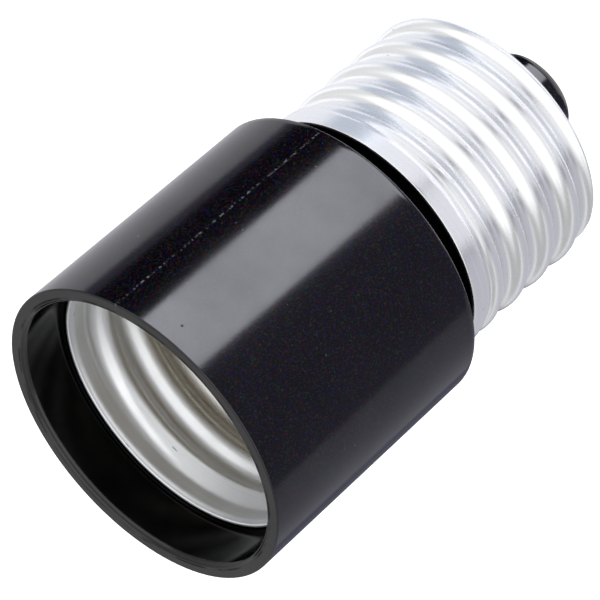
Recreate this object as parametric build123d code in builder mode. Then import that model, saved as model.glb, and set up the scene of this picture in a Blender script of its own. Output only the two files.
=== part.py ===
"""Keyless lamp holder of the extension kind: a moulded body with a screw base and a recessed lamp socket.

The axis is Z. The base points down, the mouth that takes the lamp points up, and the origin is the
lowest point of the tip contact. All lengths are in millimetres.
"""

from build123d import *
import os
from math import asin, ceil, cos, degrees, floor, radians, sin, tan

# Rolled screw thread: one start, right-hand, made of equal arcs that meet in a tangent
pitch = 25.4 / 7
arc_radius = 1.194
sheet = 0.4
runout_angle = 25.0

# Lengths along the axis, from the tip contact up to the mouth
tip_height = 1.4
nose_length = 6.75
base_shell_length = 17.8
neck_length = 2.45
sleeve_length = 27.3

# Outside of the body
rim_wall = 1.4
sleeve_taper = 0.35
neck_step = 1.15
nose_cone_radius = 7.6
nose_cone_height = 2.2
nose_root_radius = 5.2
nose_tip_radius = 4.7
nose_edge = 1.2
outer_edge = 0.15

# Inside of the body
mouth_bore_depth = 5.0
mouth_chamfer = 0.25
mouth_ledge = 0.25
floor_rise = 1.5
shell_bore_clearance = 0.15
boss_radius = 6.4
boss_height = 0.7

# Base screw shell, outside the core
base_crest_radius = 13.13
base_crest_height = 20.16
base_band_length = 1.85
base_end_corner = 1.3
base_hole_clearance = 0.6
core_clearance = 0.3
seat_clearance = 0.2
seat_length = 1.6

# Lamp screw shell, inside the sleeve
lamp_groove_radius = 13.23
lamp_groove_height = 47.41
lamp_entry_length = 1.9
lamp_lip_flare = 0.15
lamp_lip_height = 0.6
lamp_lip_drop = 0.15
lamp_corner = 1.2
lamp_hole_clearance = 0.25
band_margin = 0.02

# Contact rivet through the nose
contact_shank_radius = 1.4
contact_head_radius = 2.9
contact_clinch_radius = 2.2
contact_clinch_height = 0.6
rivet_clearance = 0.1

# Centre contact, a folded spring strip
strip_width = 5.0
strip_thickness = 0.4
strip_half_foot = 4.6
strip_fold_radius = 0.9
strip_rise = 0.9
strip_tip_drop = 0.5

# Rivets that hold the lamp shell down, and the link between the two shells
shell_rivet_inset = 2.95
shell_rivet_radius = 1.2
shell_rivet_head_radius = 2.1
shell_rivet_head_height = 0.8
shell_rivet_tail_radius = 1.9
shell_rivet_tail_height = 0.7
pocket_width = 5.4
pocket_length = 6.0
pocket_margin = 0.5
link_width = 4.0
link_thickness = 0.4
link_gap = 0.05
link_end_clearance = 0.3

# Levels
nose_level = tip_height
base_end_level = nose_level + nose_length
neck_level = base_end_level + base_shell_length
shoulder_level = neck_level + neck_length
mouth_level = shoulder_level + sleeve_length
floor_level = shoulder_level + floor_rise
lip_level = mouth_level - mouth_bore_depth - lamp_lip_drop
boss_level = floor_level + boss_height

# Sizes that follow from the thread
arc_lean = asin(pitch / 4 / arc_radius)
thread_depth = 2 * arc_radius * (1 - cos(arc_lean))
base_band_radius = base_crest_radius + band_margin
base_bore_radius = base_crest_radius - thread_depth - sheet
base_seat_radius = base_band_radius - sheet - seat_clearance
core_radius = base_bore_radius - core_clearance
base_hole_radius = nose_cone_radius + base_hole_clearance
lamp_entry_radius = lamp_groove_radius + band_margin
lamp_outer_radius = lamp_entry_radius + sheet + lamp_lip_flare
lamp_hole_radius = boss_radius + lamp_hole_clearance

# Sizes of the body and the rivets that follow from the shells
neck_radius = base_band_radius - neck_step
shell_bore_radius = lamp_outer_radius + shell_bore_clearance
mouth_bore_radius = shell_bore_radius + mouth_ledge
rim_radius = mouth_bore_radius + rim_wall
shoulder_radius = rim_radius - sleeve_taper
shell_rivet_circle = lamp_hole_radius + shell_rivet_inset

# How near an edge lies to the size by which it is picked
match = 0.01


def ring(part, radius, level):
    """The circular edges of a part that have this radius at this level."""
    return part.edges().filter_by(GeomType.CIRCLE).filter_by(
        lambda edge: abs(edge.radius - radius) < match and abs(edge.center().Z - level) < match
    )


def rolled_surface(crest_radius, crest_height, offset, low, high, hole):
    """Solid ring whose outside is the rolled thread, moved outwards by offset, over one full turn."""
    crest_arc = arc_radius + offset
    groove_arc = arc_radius - offset
    crest = crest_radius + offset
    groove = crest - thread_depth
    bend = crest - crest_arc * (1 - cos(arc_lean))
    crest_half = crest_arc * sin(arc_lean)
    first = crest_height + pitch * (floor((low - crest_height) / pitch) - 1)
    turns = ceil((high - first) / pitch) + 1
    top = first + turns * pitch - crest_half
    with BuildPart() as quarter:
        with BuildSketch(Plane.XZ):
            with BuildLine():
                for turn in range(turns):
                    middle = first + turn * pitch
                    up = middle + crest_half
                    following = middle + pitch - crest_half
                    ThreePointArc((bend, middle - crest_half), (crest, middle), (bend, up))
                    ThreePointArc((bend, up), (groove, middle + pitch / 2), (bend, following))
                Polyline((bend, top), (hole, top), (hole, first - crest_half), (bend, first - crest_half))
            make_face()
        with BuildLine() as path:
            Helix(pitch, pitch / 4, crest)
        sweep(path=path.line, is_frenet=True)
    with BuildPart() as whole:
        with Locations([Location((0, 0, pitch / 4 * step), (0, 0, 90 * step)) for step in range(4)]):
            add(quarter.part)
    return whole.part


def rolled_form(crest_radius, crest_height, offset, low, high, hole, band, flare, flare_height, corner):
    """The form that one face of a screw shell follows: thread, plain band at the top, rounded end below."""
    band_radius = crest_radius + band_margin + offset
    thread_radius = crest_radius + offset - thread_depth - band_margin
    band_end = high - band + offset * tan(radians(runout_angle) / 2)
    runout_end = band_end - (band_radius - thread_radius) / tan(radians(runout_angle))
    flare_radius = band_radius + flare
    outside = flare_radius + band_margin
    with BuildPart() as form:
        add(rolled_surface(crest_radius, crest_height, offset, low, high, hole))
        # Plain ends, with the lower corner rounded
        with BuildSketch(Plane.XZ):
            with BuildLine():
                Line((hole, low), (outside - corner, low))
                RadiusArc((outside - corner, low), (outside, low + corner), -corner)
                Polyline((outside, low + corner), (outside, high), (hole, high), (hole, low))
            make_face()
        revolve(axis=Axis.Z, mode=Mode.INTERSECT)
        # Plain band, with the cone on which the thread runs out
        with BuildSketch(Plane.XZ):
            Polygon(
                (hole, high),
                (flare_radius, high),
                (band_radius, high - flare_height),
                (band_radius, band_end),
                (thread_radius, runout_end),
                (hole, runout_end),
                align=None,
            )
        revolve(axis=Axis.Z)
    return form.part


def domed_rivet(shank_radius, low, low_radius, low_height, high, high_radius, high_height):
    """Rivet on the Z axis with a dome at each end: low and high are the faces that it clamps."""
    low_sphere = (low_radius**2 + low_height**2) / (2 * low_height)
    high_sphere = (high_radius**2 + high_height**2) / (2 * high_height)
    low_spread = degrees(asin(low_radius / low_sphere))
    high_spread = degrees(asin(high_radius / high_sphere))
    with BuildPart() as rivet:
        with BuildSketch(Plane.XZ):
            with BuildLine():
                CenterArc((0, low - low_height + low_sphere), low_sphere, -90, low_spread)
                Polyline((low_radius, low), (shank_radius, low), (shank_radius, high), (high_radius, high))
                CenterArc((0, high + high_height - high_sphere), high_sphere, 90 - high_spread, high_spread)
                Line((0, high + high_height), (0, low - low_height))
            make_face()
        revolve(axis=Axis.Z)
    return rivet.part


# Moulded body: sleeve, floor, neck, core and nose in one piece
with BuildPart() as body:
    with BuildSketch(Plane.XZ):
        with BuildLine():
            core_end = base_end_level + sheet
            cone_end = base_end_level - nose_cone_height
            seat_end = neck_level - seat_length
            cone_drop = (base_seat_radius - core_radius) / tan(radians(runout_angle))
            Polyline(
                (0, nose_level),
                (nose_tip_radius, nose_level),
                (nose_root_radius, cone_end),
                (nose_cone_radius, base_end_level),
                (nose_cone_radius, core_end),
                (core_radius, core_end),
                (core_radius, seat_end - cone_drop),
                (base_seat_radius, seat_end),
                (base_seat_radius, neck_level),
                (neck_radius, neck_level),
                (neck_radius, shoulder_level),
                (shoulder_radius, shoulder_level),
                (rim_radius, mouth_level),
                (mouth_bore_radius, mouth_level),
                (mouth_bore_radius, mouth_level - mouth_bore_depth),
                (shell_bore_radius, mouth_level - mouth_bore_depth),
                (shell_bore_radius, floor_level),
                (boss_radius, floor_level),
                (boss_radius, boss_level),
                (0, boss_level),
                close=True,
            )
        make_face()
    revolve(axis=Axis.Z)
    chamfer(ring(body, mouth_bore_radius, mouth_level), mouth_chamfer)
    fillet(ring(body, nose_tip_radius, nose_level), nose_edge)
    fillet(ring(body, rim_radius, mouth_level), outer_edge)
    fillet(ring(body, shoulder_radius, shoulder_level), outer_edge)
    # Pockets under the floor, one for the tail of each shell rivet
    pocket_inner = shell_rivet_circle - shell_rivet_tail_radius - pocket_margin
    pocket_depth = base_seat_radius + sheet - pocket_inner
    with BuildSketch(Plane.XY.offset(neck_level)):
        with PolarLocations(pocket_inner + pocket_depth / 2, 2):
            Rectangle(pocket_depth, pocket_width)
    extrude(amount=-pocket_length, mode=Mode.SUBTRACT)
    # Holes for the rivets
    with Locations((0, 0, boss_level)):
        Hole(contact_shank_radius + rivet_clearance)
    with BuildSketch(Plane.XY.offset(neck_level)):
        with PolarLocations(shell_rivet_circle, 2):
            Circle(shell_rivet_radius + rivet_clearance)
    extrude(amount=floor_level - neck_level, mode=Mode.SUBTRACT)

# Screw shell of the base, rolled from sheet, with its end turned in over the core
with BuildPart() as base_screw_shell:
    add(rolled_form(
        base_crest_radius, base_crest_height, 0, base_end_level, neck_level,
        base_hole_radius, base_band_length, 0, sheet, base_end_corner,
    ))
    add(rolled_form(
        base_crest_radius, base_crest_height, -sheet, base_end_level + sheet, neck_level + sheet,
        base_hole_radius - sheet, base_band_length + sheet, 0, sheet, base_end_corner - sheet,
    ), mode=Mode.SUBTRACT)

# Screw shell of the lamp socket, with a flared lip and a flat bottom
with BuildPart() as lamp_screw_shell:
    add(rolled_form(
        lamp_groove_radius, lamp_groove_height, sheet, floor_level, lip_level,
        lamp_hole_radius, lamp_entry_length, lamp_lip_flare, lamp_lip_height, lamp_corner,
    ))
    add(rolled_form(
        lamp_groove_radius, lamp_groove_height, 0, floor_level + sheet, lip_level,
        lamp_hole_radius - sheet, lamp_entry_length, lamp_lip_flare, lamp_lip_height, lamp_corner - sheet,
    ), mode=Mode.SUBTRACT)
    with BuildSketch(Plane.XY.offset(floor_level)):
        with PolarLocations(shell_rivet_circle, 2):
            Circle(shell_rivet_radius + rivet_clearance)
    extrude(amount=sheet, mode=Mode.SUBTRACT)

# Rivet that carries the current through the nose, clinched over the foot of the contact strip
foot_level = boss_level + strip_thickness
contact_rivet = domed_rivet(
    contact_shank_radius, nose_level, contact_head_radius, tip_height,
    foot_level, contact_clinch_radius, contact_clinch_height,
)

# Centre contact: a strip with a flat foot, folded back over the rivet so that it springs
with BuildPart() as centre_contact:
    with BuildSketch(Plane.XZ):
        with BuildLine():
            middle = boss_level + strip_thickness / 2
            fold_top = middle + 2 * strip_fold_radius
            arm_top = fold_top + strip_rise
            Line((-strip_half_foot, middle), (strip_half_foot, middle))
            CenterArc((strip_half_foot, middle + strip_fold_radius), strip_fold_radius, -90, 180)
            FilletPolyline(
                (strip_half_foot, fold_top),
                (-strip_half_foot / 2, arm_top),
                (-strip_half_foot, arm_top - strip_tip_drop),
                radius=2 * strip_fold_radius,
            )
        trace(line_width=strip_thickness)
    extrude(amount=strip_width / 2, both=True)
    with BuildSketch(Plane.XY.offset(boss_level)):
        Circle(contact_shank_radius)
    extrude(amount=strip_thickness, mode=Mode.SUBTRACT)

# Link between the shells: its foot lies under the floor, its leg bears on the base shell's plain band
with BuildPart() as shell_link:
    link_radius = base_band_radius - sheet - link_gap
    link_inner = pocket_inner + link_end_clearance
    leg_length = base_band_length - link_thickness - link_end_clearance
    with BuildSketch(Plane.XY.offset(neck_level)):
        with Locations((link_inner, 0)):
            Rectangle(link_radius - link_inner, link_width, align=(Align.MIN, Align.CENTER))
        Circle(link_radius, mode=Mode.INTERSECT)
        with Locations((shell_rivet_circle, 0)):
            Circle(shell_rivet_radius, mode=Mode.SUBTRACT)
    extrude(amount=-link_thickness)
    with BuildSketch(Plane.XY.offset(neck_level - link_thickness)):
        with Locations((link_inner, 0)):
            Rectangle(link_radius - link_inner, link_width, align=(Align.MIN, Align.CENTER))
        Circle(link_radius, mode=Mode.INTERSECT)
        Circle(link_radius - link_thickness, mode=Mode.SUBTRACT)
    extrude(amount=-leg_length)

# Rivets that hold the lamp shell to the floor, the first of them through the link as well
with BuildPart() as shell_rivets:
    for side, tail_level in ((1, neck_level - link_thickness), (-1, neck_level)):
        with Locations((side * shell_rivet_circle, 0, 0)):
            add(domed_rivet(
                shell_rivet_radius, tail_level, shell_rivet_tail_radius, shell_rivet_tail_height,
                floor_level + sheet, shell_rivet_head_radius, shell_rivet_head_height,
            ))

body.part.label = "body"
base_screw_shell.part.label = "base_screw_shell"
lamp_screw_shell.part.label = "lamp_screw_shell"
contact_rivet.label = "contact_rivet"
centre_contact.part.label = "centre_contact"
shell_link.part.label = "shell_link"
shell_rivets.part.label = "shell_rivets"

os.makedirs("parts", exist_ok=True)
export_step(body.part, "parts/body.step")
export_step(base_screw_shell.part, "parts/base_screw_shell.step")
export_step(lamp_screw_shell.part, "parts/lamp_screw_shell.step")
export_step(contact_rivet, "parts/contact_rivet.step")
export_step(centre_contact.part, "parts/centre_contact.step")
export_step(shell_link.part, "parts/shell_link.step")
export_step(shell_rivets.part, "parts/shell_rivets.step")
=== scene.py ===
from math import asin, cos, pi, radians, sin, tan, tau

import bpy
from mathutils import Matrix, Vector


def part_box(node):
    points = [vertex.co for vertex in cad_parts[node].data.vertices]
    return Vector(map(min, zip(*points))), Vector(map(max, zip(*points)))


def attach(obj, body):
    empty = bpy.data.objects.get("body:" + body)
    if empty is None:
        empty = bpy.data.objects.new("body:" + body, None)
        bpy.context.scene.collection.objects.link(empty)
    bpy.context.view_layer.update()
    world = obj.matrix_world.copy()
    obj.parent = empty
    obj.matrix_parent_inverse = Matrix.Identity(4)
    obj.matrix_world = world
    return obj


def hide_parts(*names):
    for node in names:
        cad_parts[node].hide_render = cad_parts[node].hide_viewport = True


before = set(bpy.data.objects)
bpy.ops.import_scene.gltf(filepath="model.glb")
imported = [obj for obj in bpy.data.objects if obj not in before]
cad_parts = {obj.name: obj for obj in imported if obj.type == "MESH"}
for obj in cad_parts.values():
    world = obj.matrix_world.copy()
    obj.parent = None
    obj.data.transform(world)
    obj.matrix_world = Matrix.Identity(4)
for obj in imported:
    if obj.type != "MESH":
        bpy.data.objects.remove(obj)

MM = 0.001
AXIS = Vector((0, 0, 1))
MATH = "ShaderNodeMath"
NOISE = "ShaderNodeTexNoise"
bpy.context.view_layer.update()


def in_mm(node):
    """Lowest and highest corner of a CAD node, in millimetres."""
    low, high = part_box(node)
    return low / MM, high / MM


def linear(code):
    """An sRGB hex colour as the linear colour that a socket takes."""
    parts = [int(code[i:i + 2], 16) / 255 for i in (1, 3, 5)]
    return (*[p / 12.92 if p <= 0.04045 else ((p + 0.055) / 1.055) ** 2.4 for p in parts], 1)


def add_node(tree, kind, inputs=(), **settings):
    """Adds a node with its settings. Its inputs, by name or in order, take a value, a socket or a node.

    A node that is given as an input stands for its first output.
    """
    new = tree.nodes.new(kind)
    for name, value in settings.items():
        setattr(new, name, value)
    named = inputs if isinstance(inputs, dict) else dict(enumerate(inputs))
    for name, value in named.items():
        if isinstance(value, bpy.types.Node):
            value = value.outputs[0]
        if isinstance(value, bpy.types.NodeSocket):
            tree.links.new(value, new.inputs[name])
        else:
            new.inputs[name].default_value = value
    return new


# Rolled screw thread of the medium size, in millimetres: equal arcs that meet in a tangent. It runs out on a
# cone, and the plain band stands a hair outside its crests. The mean radius turns an angle round the axis
# into a length along the thread.
PITCH = 25.4 / 7
ARC_RADIUS = 1.194
SHEET = 0.4
RUNOUT = radians(25)
ARC_LEAN = asin(PITCH / 4 / ARC_RADIUS)
THREAD_DEPTH = 2 * ARC_RADIUS * (1 - cos(ARC_LEAN))
BAND_MARGIN = 0.02
SHELL_MEAN_RADIUS = 13

# Mesh of a screw shell: columns round the axis, rows round the section of the sheet. A share of the rows goes
# to the hem at the lip and at the hole, and a share of the rest to the flat foot, where the rows crowd.
SHELL_COLUMNS = 216
SHELL_ROWS = 340
FOOT_SHARE = 0.1
HEM_SHARE = 0.03
CROWDING = 1.35


def rolled_shell_tree():
    """Geometry Nodes that roll a sheet into a screw shell.

    One grid is laid along the closed section and round the axis. Across it runs the turn. Along it runs the
    section: up the outer face, over the lip, down the inner face and round the edge of the hole. Each point's
    radius follows the thread, the cone on which it runs out, the plain band and the rounded end.
    """
    tree = bpy.data.node_groups.new("rolled_shell", "GeometryNodeTree")
    tree.interface.new_socket("Shell", in_out="OUTPUT", socket_type="NodeSocketGeometry")
    tree.interface.new_socket("Material", in_out="INPUT", socket_type="NodeSocketMaterial")
    for name in ("Crest Radius", "Crest Height", "Outer Offset", "Low", "High", "Hole Radius",
                 "Band Length", "Flare", "Flare Height", "Corner"):
        tree.interface.new_socket(name, in_out="INPUT", socket_type="NodeSocketFloat")
    given = tree.nodes.new("NodeGroupInput").outputs

    grid = add_node(tree, "GeometryNodeMeshGrid", {
        "Size X": 1.0, "Size Y": 1.0, "Vertices X": SHELL_COLUMNS + 1, "Vertices Y": SHELL_ROWS + 1,
    })
    place = add_node(tree, "ShaderNodeSeparateXYZ", {0: add_node(tree, "GeometryNodeInputPosition")}).outputs
    angle = add_node(tree, MATH, (place["X"], tau, pi), operation="MULTIPLY_ADD")

    # Where the point is on the section: rise goes from 0 at the hole to 1 at the lip and back
    from_lip = add_node(tree, MATH, (
        add_node(tree, MATH, (place["Y"], 2.0), operation="MULTIPLY"),
    ), operation="ABSOLUTE")
    lip = add_node(tree, MATH, (
        1.0,
        add_node(tree, MATH, (from_lip, HEM_SHARE), operation="DIVIDE"),
    ), operation="SUBTRACT", use_clamp=True)
    hole = add_node(tree, MATH, (
        add_node(tree, MATH, (from_lip, 1 - HEM_SHARE), operation="SUBTRACT"),
        HEM_SHARE,
    ), operation="DIVIDE", use_clamp=True)
    rise = add_node(tree, MATH, (
        add_node(tree, MATH, (1 - HEM_SHARE, from_lip), operation="SUBTRACT"),
        1 - 2 * HEM_SHARE,
    ), operation="DIVIDE", use_clamp=True)
    foot = add_node(tree, MATH, (rise, FOOT_SHARE), operation="DIVIDE", use_clamp=True)
    wall = add_node(tree, MATH, (
        add_node(tree, MATH, (rise, FOOT_SHARE), operation="SUBTRACT"),
        1 - FOOT_SHARE,
    ), operation="DIVIDE", use_clamp=True)
    hem = add_node(tree, MATH, (lip, hole), operation="ADD")
    round_hem = add_node(tree, MATH, (
        add_node(tree, MATH, (
            1.0,
            add_node(tree, MATH, (hem, hem), operation="MULTIPLY"),
        ), operation="SUBTRACT", use_clamp=True),
    ), operation="SQRT")
    face = add_node(tree, MATH, (
        add_node(tree, MATH, (place["Y"],), operation="SIGN"),
        round_hem,
    ), operation="MULTIPLY")

    # How far inside the outer face it is, and what that does to the sizes of the section
    inward = add_node(tree, MATH, (face, SHEET / 2, SHEET / 2), operation="MULTIPLY_ADD")
    offset = add_node(tree, MATH, (given["Outer Offset"], inward), operation="SUBTRACT")
    low = add_node(tree, MATH, (given["Low"], inward), operation="ADD")
    corner = add_node(tree, MATH, (given["Corner"], inward), operation="SUBTRACT")
    crest = add_node(tree, MATH, (given["Crest Radius"], offset), operation="ADD")
    top = add_node(tree, MATH, (given["High"], SHEET / 2), operation="SUBTRACT")
    climb = add_node(tree, MATH, (
        add_node(tree, MATH, (wall, CROWDING), operation="POWER"),
        add_node(tree, MATH, (top, low), operation="SUBTRACT"),
    ), operation="MULTIPLY")
    height = add_node(tree, MATH, (low, climb), operation="ADD")

    # Thread: an arc over the crest and an arc under the groove, by the distance from the nearest crest
    turns = add_node(tree, MATH, (
        add_node(tree, MATH, (
            add_node(tree, MATH, (height, given["Crest Height"]), operation="SUBTRACT"),
            PITCH,
        ), operation="DIVIDE"),
        add_node(tree, MATH, (angle, tau), operation="DIVIDE"),
    ), operation="SUBTRACT")
    away = add_node(tree, MATH, (
        add_node(tree, MATH, (
            add_node(tree, MATH, (
                turns,
                add_node(tree, MATH, (turns,), operation="ROUND"),
            ), operation="SUBTRACT"),
        ), operation="ABSOLUTE"),
        PITCH,
    ), operation="MULTIPLY")
    back = add_node(tree, MATH, (PITCH / 2, away), operation="SUBTRACT")
    crest_arc = add_node(tree, MATH, (ARC_RADIUS, offset), operation="ADD")
    groove_arc = add_node(tree, MATH, (ARC_RADIUS, offset), operation="SUBTRACT")
    crest_rise = add_node(tree, MATH, (
        add_node(tree, MATH, (
            add_node(tree, MATH, (
                add_node(tree, MATH, (crest_arc, 2.0), operation="POWER"),
                add_node(tree, MATH, (away, 2.0), operation="POWER"),
            ), operation="SUBTRACT"),
            0.0,
        ), operation="MAXIMUM"),
    ), operation="SQRT")
    groove_rise = add_node(tree, MATH, (
        add_node(tree, MATH, (
            add_node(tree, MATH, (
                add_node(tree, MATH, (groove_arc, 2.0), operation="POWER"),
                add_node(tree, MATH, (back, 2.0), operation="POWER"),
            ), operation="SUBTRACT"),
            0.0,
        ), operation="MAXIMUM"),
    ), operation="SQRT")
    over_crest = add_node(tree, MATH, (
        add_node(tree, MATH, (crest, crest_arc), operation="SUBTRACT"),
        crest_rise,
    ), operation="ADD")
    in_groove = add_node(tree, MATH, (
        add_node(tree, MATH, (
            add_node(tree, MATH, (crest, groove_arc), operation="ADD"),
            THREAD_DEPTH,
        ), operation="SUBTRACT"),
        groove_rise,
    ), operation="SUBTRACT")
    on_crest = add_node(tree, MATH, (
        away,
        add_node(tree, MATH, (crest_arc, sin(ARC_LEAN)), operation="MULTIPLY"),
    ), operation="LESS_THAN")
    thread = add_node(tree, MATH, (
        in_groove,
        add_node(tree, MATH, (
            on_crest,
            add_node(tree, MATH, (over_crest, in_groove), operation="SUBTRACT"),
        ), operation="MULTIPLY"),
    ), operation="ADD")

    # Plain band with its cone, flared lip, rounded corner and flat end
    band = add_node(tree, MATH, (crest, BAND_MARGIN), operation="ADD")
    band_end = add_node(tree, MATH, (
        add_node(tree, MATH, (given["High"], given["Band Length"]), operation="SUBTRACT"),
        add_node(tree, MATH, (offset, tan(RUNOUT / 2)), operation="MULTIPLY"),
    ), operation="ADD")
    below_band = add_node(tree, MATH, (band_end, height), operation="SUBTRACT")
    cone = add_node(tree, MATH, (
        band,
        add_node(tree, MATH, (
            add_node(tree, MATH, (below_band, 0.0), operation="MAXIMUM"),
            tan(RUNOUT),
        ), operation="MULTIPLY"),
    ), operation="SUBTRACT")
    flare = add_node(tree, MATH, (
        given["Flare"],
        add_node(tree, MATH, (
            1.0,
            add_node(tree, MATH, (
                add_node(tree, MATH, (given["High"], height), operation="SUBTRACT"),
                given["Flare Height"],
            ), operation="DIVIDE"),
        ), operation="SUBTRACT", use_clamp=True),
    ), operation="MULTIPLY")
    side = add_node(tree, MATH, (
        add_node(tree, MATH, (thread, cone), operation="MAXIMUM"),
        flare,
    ), operation="ADD")
    into_corner = add_node(tree, MATH, (
        add_node(tree, MATH, (
            add_node(tree, MATH, (low, corner), operation="ADD"),
            height,
        ), operation="SUBTRACT"),
        0.0,
    ), operation="MAXIMUM")
    corner_rise = add_node(tree, MATH, (
        add_node(tree, MATH, (
            add_node(tree, MATH, (
                add_node(tree, MATH, (corner, 2.0), operation="POWER"),
                add_node(tree, MATH, (into_corner, 2.0), operation="POWER"),
            ), operation="SUBTRACT"),
            0.0,
        ), operation="MAXIMUM"),
    ), operation="SQRT")
    outside = add_node(tree, MATH, (
        add_node(tree, MATH, (band, given["Flare"]), operation="ADD"),
        BAND_MARGIN,
    ), operation="ADD")
    end = add_node(tree, MATH, (
        add_node(tree, MATH, (outside, corner), operation="SUBTRACT"),
        corner_rise,
    ), operation="ADD")
    wall_radius = add_node(tree, MATH, (side, end), operation="MINIMUM")
    hole_radius = add_node(tree, MATH, (
        given["Hole Radius"],
        add_node(tree, MATH, (hole, SHEET / 4), operation="MULTIPLY"),
    ), operation="SUBTRACT")
    radius = add_node(tree, MATH, (
        hole_radius,
        add_node(tree, MATH, (
            foot,
            add_node(tree, MATH, (wall_radius, given["Hole Radius"]), operation="SUBTRACT"),
        ), operation="MULTIPLY"),
    ), operation="ADD")
    level = add_node(tree, MATH, (
        height,
        add_node(tree, MATH, (lip, SHEET / 2), operation="MULTIPLY"),
    ), operation="ADD")

    spot = add_node(tree, "ShaderNodeCombineXYZ", {
        "X": add_node(tree, MATH, (
            radius,
            add_node(tree, MATH, (angle,), operation="COSINE"),
        ), operation="MULTIPLY"),
        "Y": add_node(tree, MATH, (
            radius,
            add_node(tree, MATH, (angle,), operation="SINE"),
        ), operation="MULTIPLY"),
        "Z": level,
    })
    metres = add_node(tree, "ShaderNodeVectorMath", {0: spot, "Scale": MM}, operation="SCALE")
    rolled = add_node(tree, "GeometryNodeSetPosition", {"Geometry": grid, "Position": metres})
    closed = add_node(tree, "GeometryNodeMergeByDistance", {"Geometry": rolled, "Distance": MM / 1000})
    smooth = add_node(tree, "GeometryNodeSetShadeSmooth", {"Geometry": closed})
    real = add_node(tree, "GeometryNodeRealizeInstances", {0: smooth})
    dressed = add_node(tree, "GeometryNodeSetMaterial", {"Geometry": real, "Material": given["Material"]})
    add_node(tree, "NodeGroupOutput", {0: dressed})
    return tree


def grown(name, tree, material, sizes):
    """A plain mesh piece from a Geometry Nodes tree, with its named inputs set."""
    seed = bpy.data.objects.new(name + "_seed", bpy.data.meshes.new(name + "_seed"))
    bpy.context.collection.objects.link(seed)
    modifier = seed.modifiers.new("build", "NODES")
    modifier.node_group = tree
    keys = {item.name: item.identifier for item in tree.interface.items_tree if item.in_out == "INPUT"}
    modifier[keys["Material"]] = material
    for label, value in sizes.items():
        modifier[keys[label]] = value
    bpy.context.view_layer.update()
    evaluated = seed.evaluated_get(bpy.context.evaluated_depsgraph_get())
    mesh = bpy.data.meshes.new_from_object(evaluated)
    mesh.name = name
    seed.modifiers.remove(modifier)
    bpy.data.objects.remove(seed)
    piece = bpy.data.objects.new(name, mesh)
    bpy.context.collection.objects.link(piece)
    return piece


def new_material(name):
    """An empty node material, with its tree."""
    material = bpy.data.materials.new(name)
    material.use_nodes = True
    material.node_tree.nodes.clear()
    return material, material.node_tree


# Span that nearly all values of a noise keep to
NOISE_LOW, NOISE_HIGH = 0.3, 0.7


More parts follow.
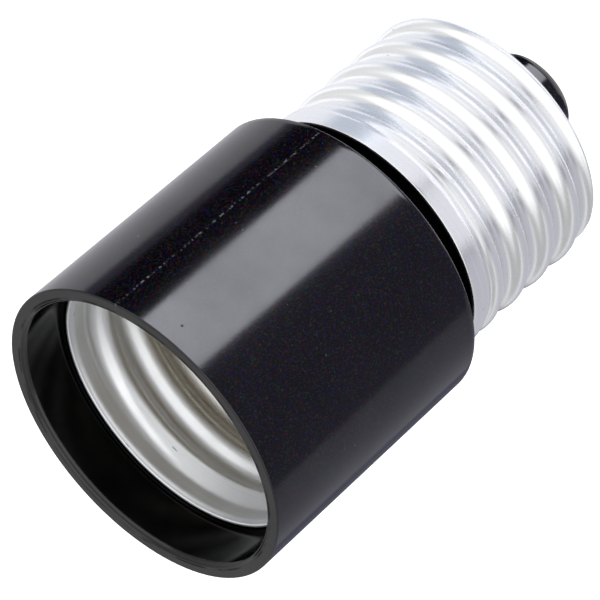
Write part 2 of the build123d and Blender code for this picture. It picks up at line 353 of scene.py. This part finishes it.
def black_phenolic(shoulder_level, mouth_level):
    """Phenolic filled with wood flour, pressed hot in a polished mould.

    It is black and glossy, with a faint orange peel and dull coloured flecks where the filler shows. Where
    the two halves of the mould met, the trimmed flash leaves a broken line of pale specks along the sleeve.
    Levels and sizes are in millimetres.
    """
    material, tree = new_material("black_phenolic")
    spot = add_node(tree, "ShaderNodeTexCoord").outputs["Object"]
    # The grains of wood flour are about half this size and too fine to show, so the flecks are drawn coarser
    peel_mm, fleck_mm, cloud_mm = 0.55, 0.2, 6.0
    peel = add_node(tree, NOISE, {"Vector": spot, "Scale": 1 / (peel_mm * MM), "Detail": 2.0})
    flecks = add_node(tree, NOISE, {"Vector": spot, "Scale": 1 / (fleck_mm * MM), "Detail": 2.0})
    clouds = add_node(tree, NOISE, {"Vector": spot, "Scale": 1 / (cloud_mm * MM), "Detail": 4.0})
    level = add_node(tree, "ShaderNodeSeparateXYZ", {0: spot}).outputs["Z"]
    flat = add_node(tree, "ShaderNodeVectorMath", {0: spot, 1: (1.0, 1.0, 0.0)}, operation="MULTIPLY")
    out = add_node(tree, "ShaderNodeVectorMath", {0: flat}, operation="LENGTH").outputs["Value"]

    # The core of the mould was not polished: the bore and the neck are duller, and their flecks hardly show
    # because they are faded almost to nothing, which is painted shade for these recesses
    core_radius, nose_top, rim_depth = 14.3, 20, 0.6
    within = add_node(tree, MATH, (out, core_radius * MM), operation="LESS_THAN")
    above_nose = add_node(tree, MATH, (level, nose_top * MM), operation="GREATER_THAN")
    below_rim = add_node(tree, MATH, (level, (mouth_level - rim_depth) * MM), operation="LESS_THAN")
    cored = add_node(tree, MATH, (within, above_nose), operation="MULTIPLY")
    dull_and_shaded = add_node(tree, MATH, (cored, below_rim), operation="MULTIPLY")

    # The flecks take the noise's own colours, made faint, and lowered so far that the rest stays black
    fleck_gain, fleck_drop, core_painted_shade = (0.1, 0.08, 0.115), (-0.053, -0.0435, -0.06), 0.9
    tinted = add_node(tree, "ShaderNodeVectorMath", {
        0: flecks.outputs["Color"], 1: fleck_gain, 2: fleck_drop,
    }, operation="MULTIPLY_ADD")
    # Painted shade: in the bore and the neck the flecks are scaled down almost to nothing, so these recesses
    # stay black
    shown = add_node(tree, "ShaderNodeVectorMath", {
        0: tinted, "Scale": add_node(tree, MATH, (dull_and_shaded, -core_painted_shade, 1.0), operation="MULTIPLY_ADD"),
    }, operation="SCALE")
    black = add_node(tree, "ShaderNodeVectorMath", {
        0: shown, 1: linear("#020203")[:3],
    }, operation="MAXIMUM")

    # Parting line: the sleeve's outside, near the plane in which the mould opened, whose normal lies at this
    # azimuth from +X
    parting_azimuth, line_half, speck_mm, sleeve_inside = radians(39.8), 0.17, 0.3, 15
    outside = add_node(tree, MATH, (out, sleeve_inside * MM), operation="GREATER_THAN")
    beside = add_node(tree, "ShaderNodeVectorMath", {
        0: spot, 1: (cos(parting_azimuth), sin(parting_azimuth), 0.0),
    }, operation="DOT_PRODUCT").outputs["Value"]
    near = add_node(tree, "ShaderNodeMapRange", {
        "Value": add_node(tree, MATH, (beside,), operation="ABSOLUTE"),
        "From Min": 0.0, "From Max": line_half * MM, "To Min": 1.0, "To Max": 0.0,
    })
    specks = add_node(tree, NOISE, {"Vector": spot, "Scale": 1 / (speck_mm * MM), "Detail": 3.0})
    broken = add_node(tree, "ShaderNodeMapRange", {
        "Value": specks.outputs["Fac"], "From Min": 0.5, "From Max": 0.75, "To Max": 0.5,
    })
    on_line = add_node(tree, MATH, (near, outside), operation="MULTIPLY")
    line = add_node(tree, MATH, (on_line, broken), operation="MULTIPLY")

    # Specks of pale filler that lie in the surface here and there
    grain_mm = 0.3
    grains = add_node(tree, NOISE, {"Vector": spot, "Scale": 1 / (grain_mm * MM), "Detail": 0.0})
    grain = add_node(tree, "ShaderNodeMapRange", {
        "Value": grains.outputs["Fac"], "From Min": 0.87, "From Max": 0.92, "To Max": 0.3,
    })
    sleeve_grain = add_node(tree, MATH, (grain, outside), operation="MULTIPLY")
    pale = add_node(tree, MATH, (line, sleeve_grain), operation="MAXIMUM")
    lined = add_node(tree, "ShaderNodeMix", {
        "Factor": pale, "A": black, "B": linear("#8f979c"),
    }, data_type="RGBA")

    # One small pit in the sleeve, near the mouth, and a gloss that varies a little from patch to patch
    pit_spot, pit_radius, pit_edge = Vector((4.82, -14.81, 53.7)), 0.07, 0.18
    from_pit = add_node(tree, "ShaderNodeVectorMath", {
        0: spot, 1: pit_spot * MM,
    }, operation="DISTANCE").outputs["Value"]
    patchy = add_node(tree, "ShaderNodeMapRange", {
        "Value": clouds.outputs["Fac"], "From Min": NOISE_LOW, "From Max": NOISE_HIGH,
        "To Min": 0.45, "To Max": 0.55,
    })
    gloss = add_node(tree, "ShaderNodeMapRange", {
        "Value": from_pit, "From Min": pit_radius * MM, "From Max": pit_edge * MM,
        "To Min": 0.1, "To Max": patchy,
    })

    # A fine dark line, broken in places, runs round the rim between its flat face and the bore's soft edge
    ring_radius, ring_half, gap_mm, rim_skin = 14.62, 0.17, 2.5, 0.05
    past_ring = add_node(tree, MATH, (out, -ring_radius * MM), operation="ADD")
    near_ring = add_node(tree, "ShaderNodeMapRange", {
        "Value": add_node(tree, MATH, (past_ring,), operation="ABSOLUTE"),
        "From Min": 0.0, "From Max": ring_half * MM, "To Min": 1.0, "To Max": 0.0,
    })
    on_rim = add_node(tree, MATH, (level, (mouth_level - rim_skin) * MM), operation="GREATER_THAN")
    gaps = add_node(tree, NOISE, {"Vector": spot, "Scale": 1 / (gap_mm * MM), "Detail": 5.0})
    worn = add_node(tree, "ShaderNodeMapRange", {
        "Value": gaps.outputs["Fac"], "From Min": 0.42, "From Max": 0.56,
    })
    rim_worn = add_node(tree, MATH, (on_rim, worn), operation="MULTIPLY")
    ring = add_node(tree, MATH, (near_ring, rim_worn), operation="MULTIPLY")

    # What the ring and the unpolished core lose in gloss, and how rough the surface and the flash line are
    ring_dulling, core_dulling, line_roughness = 0.5, 0.42, 0.3
    marred = add_node(tree, MATH, (ring, -ring_dulling, gloss), operation="MULTIPLY_ADD")
    shine = add_node(tree, MATH, (dull_and_shaded, -core_dulling, marred), operation="MULTIPLY_ADD", use_clamp=True)
    rough = add_node(tree, "ShaderNodeMapRange", {
        "Value": clouds.outputs["Fac"], "From Min": NOISE_LOW, "From Max": NOISE_HIGH,
        "To Min": 0.17, "To Max": 0.12,
    })
    roughened = add_node(tree, MATH, (line, line_roughness, rough), operation="MULTIPLY_ADD")

    # The edge at the shoulder is softened over a little more than half a millimetre
    soft_mm, soft_slope = 0.6, 0.3
    soft = add_node(tree, "ShaderNodeMapRange", {
        "Value": level, "From Min": shoulder_level * MM, "From Max": (shoulder_level + soft_mm) * MM,
        "To Min": 1.0, "To Max": 0.0,
    })
    fall = add_node(tree, MATH, (soft, 2.0), operation="POWER")
    edge_bump = add_node(tree, "ShaderNodeBump", {
        "Distance": soft_slope * soft_mm / 2 * MM, "Height": fall,
    }, invert=True)
    # So is the edge of the bore at the mouth, over half a millimetre and more steeply
    bore_soft_mm, bore_slope = 0.5, 0.75
    receding = add_node(tree, "ShaderNodeMapRange", {
        "Value": level, "From Min": (mouth_level - bore_soft_mm) * MM, "From Max": mouth_level * MM,
    })
    bore_fall = add_node(tree, MATH, (receding, within), operation="MULTIPLY")
    bore_bump = add_node(tree, "ShaderNodeBump", {
        "Distance": bore_slope * bore_soft_mm * MM, "Height": bore_fall, "Normal": edge_bump,
    }, invert=True)
    peel_bump = add_node(tree, "ShaderNodeBump", {
        "Strength": 0.25, "Distance": 0.004 * MM, "Height": peel.outputs["Fac"], "Normal": bore_bump,
    })
    fleck_bump = add_node(tree, "ShaderNodeBump", {
        "Strength": 0.35, "Distance": 0.003 * MM, "Height": flecks.outputs["Fac"], "Normal": peel_bump,
    })
    shader = add_node(tree, "ShaderNodeBsdfPrincipled", {
        "Base Color": lined.outputs["Result"], "Roughness": roughened, "IOR": 1.6,
        "Specular IOR Level": shine, "Normal": fleck_bump,
    })
    add_node(tree, "ShaderNodeOutputMaterial", {"Surface": shader})
    return material


def rolled_aluminium(name, roughness, deep_tint="#e2e4e7", untinted_level=0.0):
    """Soft aluminium sheet, rolled bare.

    It is satin, with fine lines that run along the thread, dull spots and a few dark nicks. Below the
    untinted level, in millimetres, its colour turns darker and warmer further down.
    """
    material, tree = new_material(name)
    spot = add_node(tree, "ShaderNodeTexCoord").outputs["Object"]
    parts = add_node(tree, "ShaderNodeSeparateXYZ", {0: spot}).outputs
    turn = add_node(tree, MATH, (parts["Y"], parts["X"]), operation="ARCTAN2")
    climb = add_node(tree, MATH, (turn, -PITCH * MM / tau, parts["Z"]), operation="MULTIPLY_ADD")

    # The lines of rolling are a few hundredths of a millimetre wide, and are drawn coarser so that they show
    line_mm, stretch_mm, cloud_mm, unevenness = 0.14, 20.0, 3.0, 0.04
    along = add_node(tree, "ShaderNodeCombineXYZ", {
        "X": add_node(tree, MATH, (climb, 1 / (line_mm * MM)), operation="MULTIPLY"),
        "Y": add_node(tree, MATH, (turn, SHELL_MEAN_RADIUS / stretch_mm), operation="MULTIPLY"),
    })
    lines = add_node(tree, NOISE, {"Vector": along, "Scale": 1.0, "Detail": 2.0})
    clouds = add_node(tree, NOISE, {"Vector": spot, "Scale": 1 / (cloud_mm * MM), "Detail": 5.0})
    rough = add_node(tree, "ShaderNodeMapRange", {
        "Value": clouds.outputs["Fac"], "From Min": NOISE_LOW, "From Max": NOISE_HIGH,
        "To Min": roughness - unevenness, "To Max": roughness + unevenness,
    })
    tint = add_node(tree, "ShaderNodeMix", {
        "Factor": lines.outputs["Fac"], "A": linear("#e2e4e7"), "B": linear("#f3f4f5"),
    }, data_type="RGBA")

    # The colour turns darker and warmer over this way down
    tint_depth = 6
    depth = add_node(tree, "ShaderNodeMapRange", {
        "Value": parts["Z"], "From Min": (untinted_level - tint_depth) * MM, "From Max": untinted_level * MM,
        "To Min": 1.0, "To Max": 0.0,
    })
    deep_tinted = add_node(tree, "ShaderNodeMix", {
        "Factor": depth, "A": tint.outputs["Result"], "B": linear(deep_tint),
    }, data_type="RGBA")

    # Nicks from handling: short dashes along the thread, each so many times as long as it is wide
    nick_mm, nick_length = 0.16, 7.0
    dash = add_node(tree, "ShaderNodeCombineXYZ", {
        "X": add_node(tree, MATH, (climb, 1 / (nick_mm * MM)), operation="MULTIPLY"),
        "Y": add_node(tree, MATH, (turn, SHELL_MEAN_RADIUS / (nick_mm * nick_length)), operation="MULTIPLY"),
    })
    dashes = add_node(tree, NOISE, {"Vector": dash, "Scale": 0.7, "Detail": 0.0})
    nick = add_node(tree, "ShaderNodeMapRange", {
        "Value": dashes.outputs["Fac"], "From Min": 0.83, "From Max": 0.89, "To Max": 0.6,
    })
    nicked = add_node(tree, "ShaderNodeMix", {
        "Factor": nick, "A": deep_tinted.outputs["Result"], "B": linear("#4c5158"),
    }, data_type="RGBA")
    bump = add_node(tree, "ShaderNodeBump", {
        "Strength": 0.15, "Distance": 0.004 * MM, "Height": lines.outputs["Fac"],
    })
    shader = add_node(tree, "ShaderNodeBsdfPrincipled", {
        "Base Color": nicked.outputs["Result"], "Metallic": 1.0, "Roughness": rough, "Normal": bump,
    })
    add_node(tree, "ShaderNodeOutputMaterial", {"Surface": shader})
    return material


def stamped_brass():
    """Brass strip and rivets, stamped and bare: yellow, satin, slightly tarnished in patches."""
    material, tree = new_material("stamped_brass")
    spot = add_node(tree, "ShaderNodeTexCoord").outputs["Object"]
    patch_mm = 1.5
    patches = add_node(tree, NOISE, {"Vector": spot, "Scale": 1 / (patch_mm * MM), "Detail": 5.0})
    tint = add_node(tree, "ShaderNodeMix", {
        "Factor": patches.outputs["Fac"], "A": linear("#b8924a"), "B": linear("#dcc07a"),
    }, data_type="RGBA")
    rough = add_node(tree, "ShaderNodeMapRange", {
        "Value": patches.outputs["Fac"], "From Min": NOISE_LOW, "From Max": NOISE_HIGH,
        "To Min": 0.38, "To Max": 0.25,
    })
    shader = add_node(tree, "ShaderNodeBsdfPrincipled", {
        "Base Color": tint.outputs["Result"], "Metallic": 1.0, "Roughness": rough,
    })
    add_node(tree, "ShaderNodeOutputMaterial", {"Surface": shader})
    return material


def pale_floor_material():
    """Matt white sheet under the object, lit from within a little so that it stays even."""
    material, tree = new_material("pale_floor")
    shader = add_node(tree, "ShaderNodeBsdfPrincipled", {
        "Base Color": linear("#f6f6f6"), "Roughness": 0.9,
        "Emission Color": linear("#ffffff"), "Emission Strength": 1.0,
    })
    add_node(tree, "ShaderNodeOutputMaterial", {"Surface": shader})
    return material


def flat_sheet(name, half_width, half_height, material):
    """A rectangle round the origin in the XY plane, its half sides in metres."""
    mesh = bpy.data.meshes.new(name)
    corners = [(x * half_width, y * half_height, 0) for x, y in ((-1, -1), (1, -1), (1, 1), (-1, 1))]
    mesh.from_pydata(corners, [], [(0, 1, 2, 3)])
    mesh.materials.append(material)
    sheet = bpy.data.objects.new(name, mesh)
    bpy.context.collection.objects.link(sheet)
    return sheet


# Length of the sleeve, and how far below the lamp shell's lip the darker, warmer colour begins, in
# millimetres
SLEEVE_LENGTH = 27.3
UNTINTED_LIP = 6
mouth_level = in_mm("body")[1].z
base_low, base_high = in_mm("base_screw_shell")
lamp_low, lamp_high = in_mm("lamp_screw_shell")
phenolic = black_phenolic(mouth_level - SLEEVE_LENGTH, mouth_level)
bright_aluminium = rolled_aluminium("rolled_aluminium", roughness=0.27)
satin_aluminium = rolled_aluminium(
    "satin_aluminium", roughness=0.46, deep_tint="#d2cdc0", untinted_level=lamp_high.z - UNTINTED_LIP)
brass = stamped_brass()

# The CAD nodes that show as they are, each with its finish
finishes = {
    "body": phenolic,
    "contact_rivet": brass,
    "centre_contact": brass,
    "shell_link": brass,
    "shell_rivets": brass,
}
for node, material in finishes.items():
    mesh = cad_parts[node].data
    mesh.materials.clear()
    mesh.materials.append(material)

# The two screw shells stand for their CAD nodes. Their reach comes from the frame, and their other sizes, in
# millimetres, are the solids'. But the lamp shell's thread is raised by a tenth of a pitch, and its lip
# flares a little further, over less height.
SOLID_FLARE, SOLID_CREST, RAISED = 0.15, 47.41, 0.35
shell_tree = rolled_shell_tree()
base_shell = grown("rolled_base_shell", shell_tree, bright_aluminium, {
    "Crest Radius": base_high.x - BAND_MARGIN,
    "Crest Height": 20.16,
    "Outer Offset": 0.0,
    "Low": base_low.z,
    "High": base_high.z,
    "Hole Radius": 8.2,
    "Band Length": 1.85,
    "Flare": 0.0,
    "Flare Height": SHEET,
    "Corner": 1.3,
})
lamp_shell = grown("rolled_lamp_shell", shell_tree, satin_aluminium, {
    "Crest Radius": lamp_high.x - SOLID_FLARE - SHEET - BAND_MARGIN,
    "Crest Height": SOLID_CREST + RAISED,
    "Outer Offset": SHEET,
    "Low": lamp_low.z,
    "High": lamp_high.z,
    "Hole Radius": 6.65,
    "Band Length": 1.9,
    "Flare": 0.28,
    "Flare Height": 0.5,
    "Corner": 1.2,
})
for piece, node in ((base_shell, "base_screw_shell"), (lamp_shell, "lamp_screw_shell")):
    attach(piece, "root")
    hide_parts(node)

# Floor at the object's lowest point. The body's side mirrors what lies below it, so the floor stays out of
# reflections.
FLOOR_HALF = 1.5
floor = flat_sheet("pale_floor", FLOOR_HALF, FLOOR_HALF, pale_floor_material())
floor.visible_glossy = False
floor.visible_shadow = False

# Camera: where the mouth's centre stands before it, in millimetres to the right, down and away, and how the
# axis from mouth to nose lies: LEAN away from the line of sight, ROLL up to the right in the picture
FRAME_PIXELS = 600
FOCAL_PIXELS = 5817
SENSOR_MM = 36.0
MOUTH_SPOT = Vector((-13.765, 11.867, 509.196))
LEAN = radians(59.93)
ROLL = radians(41.36)
to_nose = Vector((sin(LEAN) * cos(ROLL), -sin(LEAN) * sin(ROLL), cos(LEAN)))
z_seen = -to_nose
x_seen = -AXIS.cross(to_nose).normalized()
y_seen = z_seen.cross(x_seen)
seen = Matrix((x_seen, y_seen, z_seen)).transposed()
eye = (Vector((0, 0, mouth_level)) - seen.transposed() @ MOUTH_SPOT) * MM
turned = Matrix((seen[0], -seen[1], -seen[2])).transposed()
camera_data = bpy.data.cameras.new("camera")
camera_data.sensor_width = SENSOR_MM
camera_data.sensor_fit = "HORIZONTAL"
camera_data.lens = SENSOR_MM * FOCAL_PIXELS / FRAME_PIXELS
camera = bpy.data.objects.new("camera", camera_data)
camera.matrix_world = Matrix.Translation(eye) @ turned.to_4x4()
bpy.context.collection.objects.link(camera)
bpy.context.scene.camera = camera

# Light: lamps and card stand about this far from the object's middle, in metres. The upright faces mirror to
# the camera what lies at this elevation, in degrees.
BOX_DISTANCE = 0.6
MIDDLE = Vector((0, 0, 0.03))
MIRRORED = -30


def facing(azimuth, elevation):
    """Direction and turn of a thing that faces the object.

    Azimuth goes from the front towards +X, and both angles are in degrees.
    """
    a, e = radians(azimuth), radians(elevation)
    way = Vector((sin(a) * cos(e), -cos(a) * cos(e), sin(e)))
    return way, way.to_track_quat("Z", "Y").to_euler()


def soft_box(name, azimuth, elevation, width, height, radiance, shade="#ffffff", *, only):
    """A rectangular lamp that faces the object and lights one collection of its pieces only.

    All its angles are in degrees, and its sides are as wide as they look from the object.
    """
    way, turn = facing(azimuth, elevation)
    data = bpy.data.lights.new(name, "AREA")
    data.shape = "RECTANGLE"
    data.size = 2 * BOX_DISTANCE * tan(radians(width / 2))
    data.size_y = 2 * BOX_DISTANCE * tan(radians(height / 2))
    data.energy = radiance * pi * data.size * data.size_y
    data.color = linear(shade)[:3]
    lamp = bpy.data.objects.new(name, data)
    lamp.location = MIDDLE + way * BOX_DISTANCE
    lamp.rotation_euler = turn
    lamp.visible_camera = False
    lamp.light_linking.receiver_collection = only
    bpy.context.collection.objects.link(lamp)


shells = bpy.data.collections.new("screw_shells")
shells.objects.link(base_shell)
shells.objects.link(lamp_shell)
mouldings = bpy.data.collections.new("mouldings")
for node in finishes:
    mouldings.objects.link(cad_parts[node])

# The body and the nose mirror these
soft_box("key_box", 33.5, MIRRORED, 43, 44, 4.5, "#f4f6ff", only=mouldings)
soft_box("left_box", 142, MIRRORED, 56, 40, 0.6, only=mouldings)
soft_box("right_box", -118, MIRRORED, 50, 40, 0.2, only=mouldings)
soft_box("ground_box", 0, -88, 56, 56, 1.0, only=mouldings)
# The screw shells mirror these: pale nearly all round, with gaps that show as blue-grey wedges
soft_box("shell_front", 37, MIRRORED, 58, 60, 0.8, only=shells)
soft_box("shell_right", -30, MIRRORED, 48, 60, 0.7, only=shells)
soft_box("shell_far_right", -112, MIRRORED, 80, 60, 0.4, only=shells)
soft_box("shell_left", 130, MIRRORED, 84, 60, 0.82, only=shells)
soft_box("shell_left_high", 130, 28, 100, 56, 0.34, only=shells)
soft_box("shell_gap", 78, MIRRORED, 40, 60, 0.7, "#e6eeff", only=shells)
soft_box("shell_sky", 0, 88, 120, 120, 0.4, only=shells)
soft_box("shell_ground", 0, -88, 56, 56, 1.05, only=shells)
# High in front, over the mouth
soft_box("sky_box", 0, 42, 130, 74, 0.6, only=mouldings)
soft_box("shell_sky_front", 0, 42, 130, 74, 0.52, only=shells)

# A black card beside the key box, which the body mirrors as a dark gap. It stands a little behind the lamps.
CARD_AZIMUTH, CARD_WIDTH, CARD_HEIGHT = 80, 36, 60
CARD_DISTANCE = 1.02 * BOX_DISTANCE
card_way, card_turn = facing(CARD_AZIMUTH, MIRRORED)
card_material, card_tree = new_material("black_card")
card_shader = add_node(card_tree, "ShaderNodeBsdfPrincipled", {
    "Base Color": linear("#040404"), "Roughness": 0.9, "Specular IOR Level": 0.0,
})
add_node(card_tree, "ShaderNodeOutputMaterial", {"Surface": card_shader})
card_half_width = BOX_DISTANCE * tan(radians(CARD_WIDTH / 2))
card_half_height = BOX_DISTANCE * tan(radians(CARD_HEIGHT / 2))
card = flat_sheet("black_card", card_half_width, card_half_height, card_material)
card.location = MIDDLE + card_way * CARD_DISTANCE
card.rotation_euler = card_turn
card.visible_camera = False
card.visible_diffuse = False
card.visible_shadow = False

# The room, by height from 0 straight down to 1 straight up: dim blue-grey below, which the upright faces
# mirror, and a pale ceiling. Behind the object the camera sees plain white.
ROOM = ((0.34, "#6c6c7c"), (0.48, "#bcbcbc"))
world = bpy.data.worlds.new("studio")
bpy.context.scene.world = world
world.use_nodes = True
room_tree = world.node_tree
room_tree.nodes.clear()
direction = add_node(room_tree, "ShaderNodeTexCoord").outputs["Generated"]
upward = add_node(room_tree, "ShaderNodeSeparateXYZ", {0: direction}).outputs["Z"]
height = add_node(room_tree, "ShaderNodeMapRange", {"Value": upward, "From Min": -1.0})
by_height = add_node(room_tree, "ShaderNodeValToRGB", {"Fac": height})
for stop, (position, shade) in zip(by_height.color_ramp.elements, ROOM):
    stop.position = position
    stop.color = linear(shade)
lit = add_node(room_tree, "ShaderNodeBackground", {"Color": by_height.outputs["Color"], "Strength": 1.0})
plain = add_node(room_tree, "ShaderNodeBackground", {"Color": linear("#ffffff"), "Strength": 1.0})
seen_straight = add_node(room_tree, "ShaderNodeLightPath").outputs["Is Camera Ray"]
room = add_node(room_tree, "ShaderNodeMixShader", {0: seen_straight, 1: lit, 2: plain})
add_node(room_tree, "ShaderNodeOutputWorld", {"Surface": room})
bpy.context.scene.view_settings.view_transform = "Standard"

bpy.context.view_layer.update()
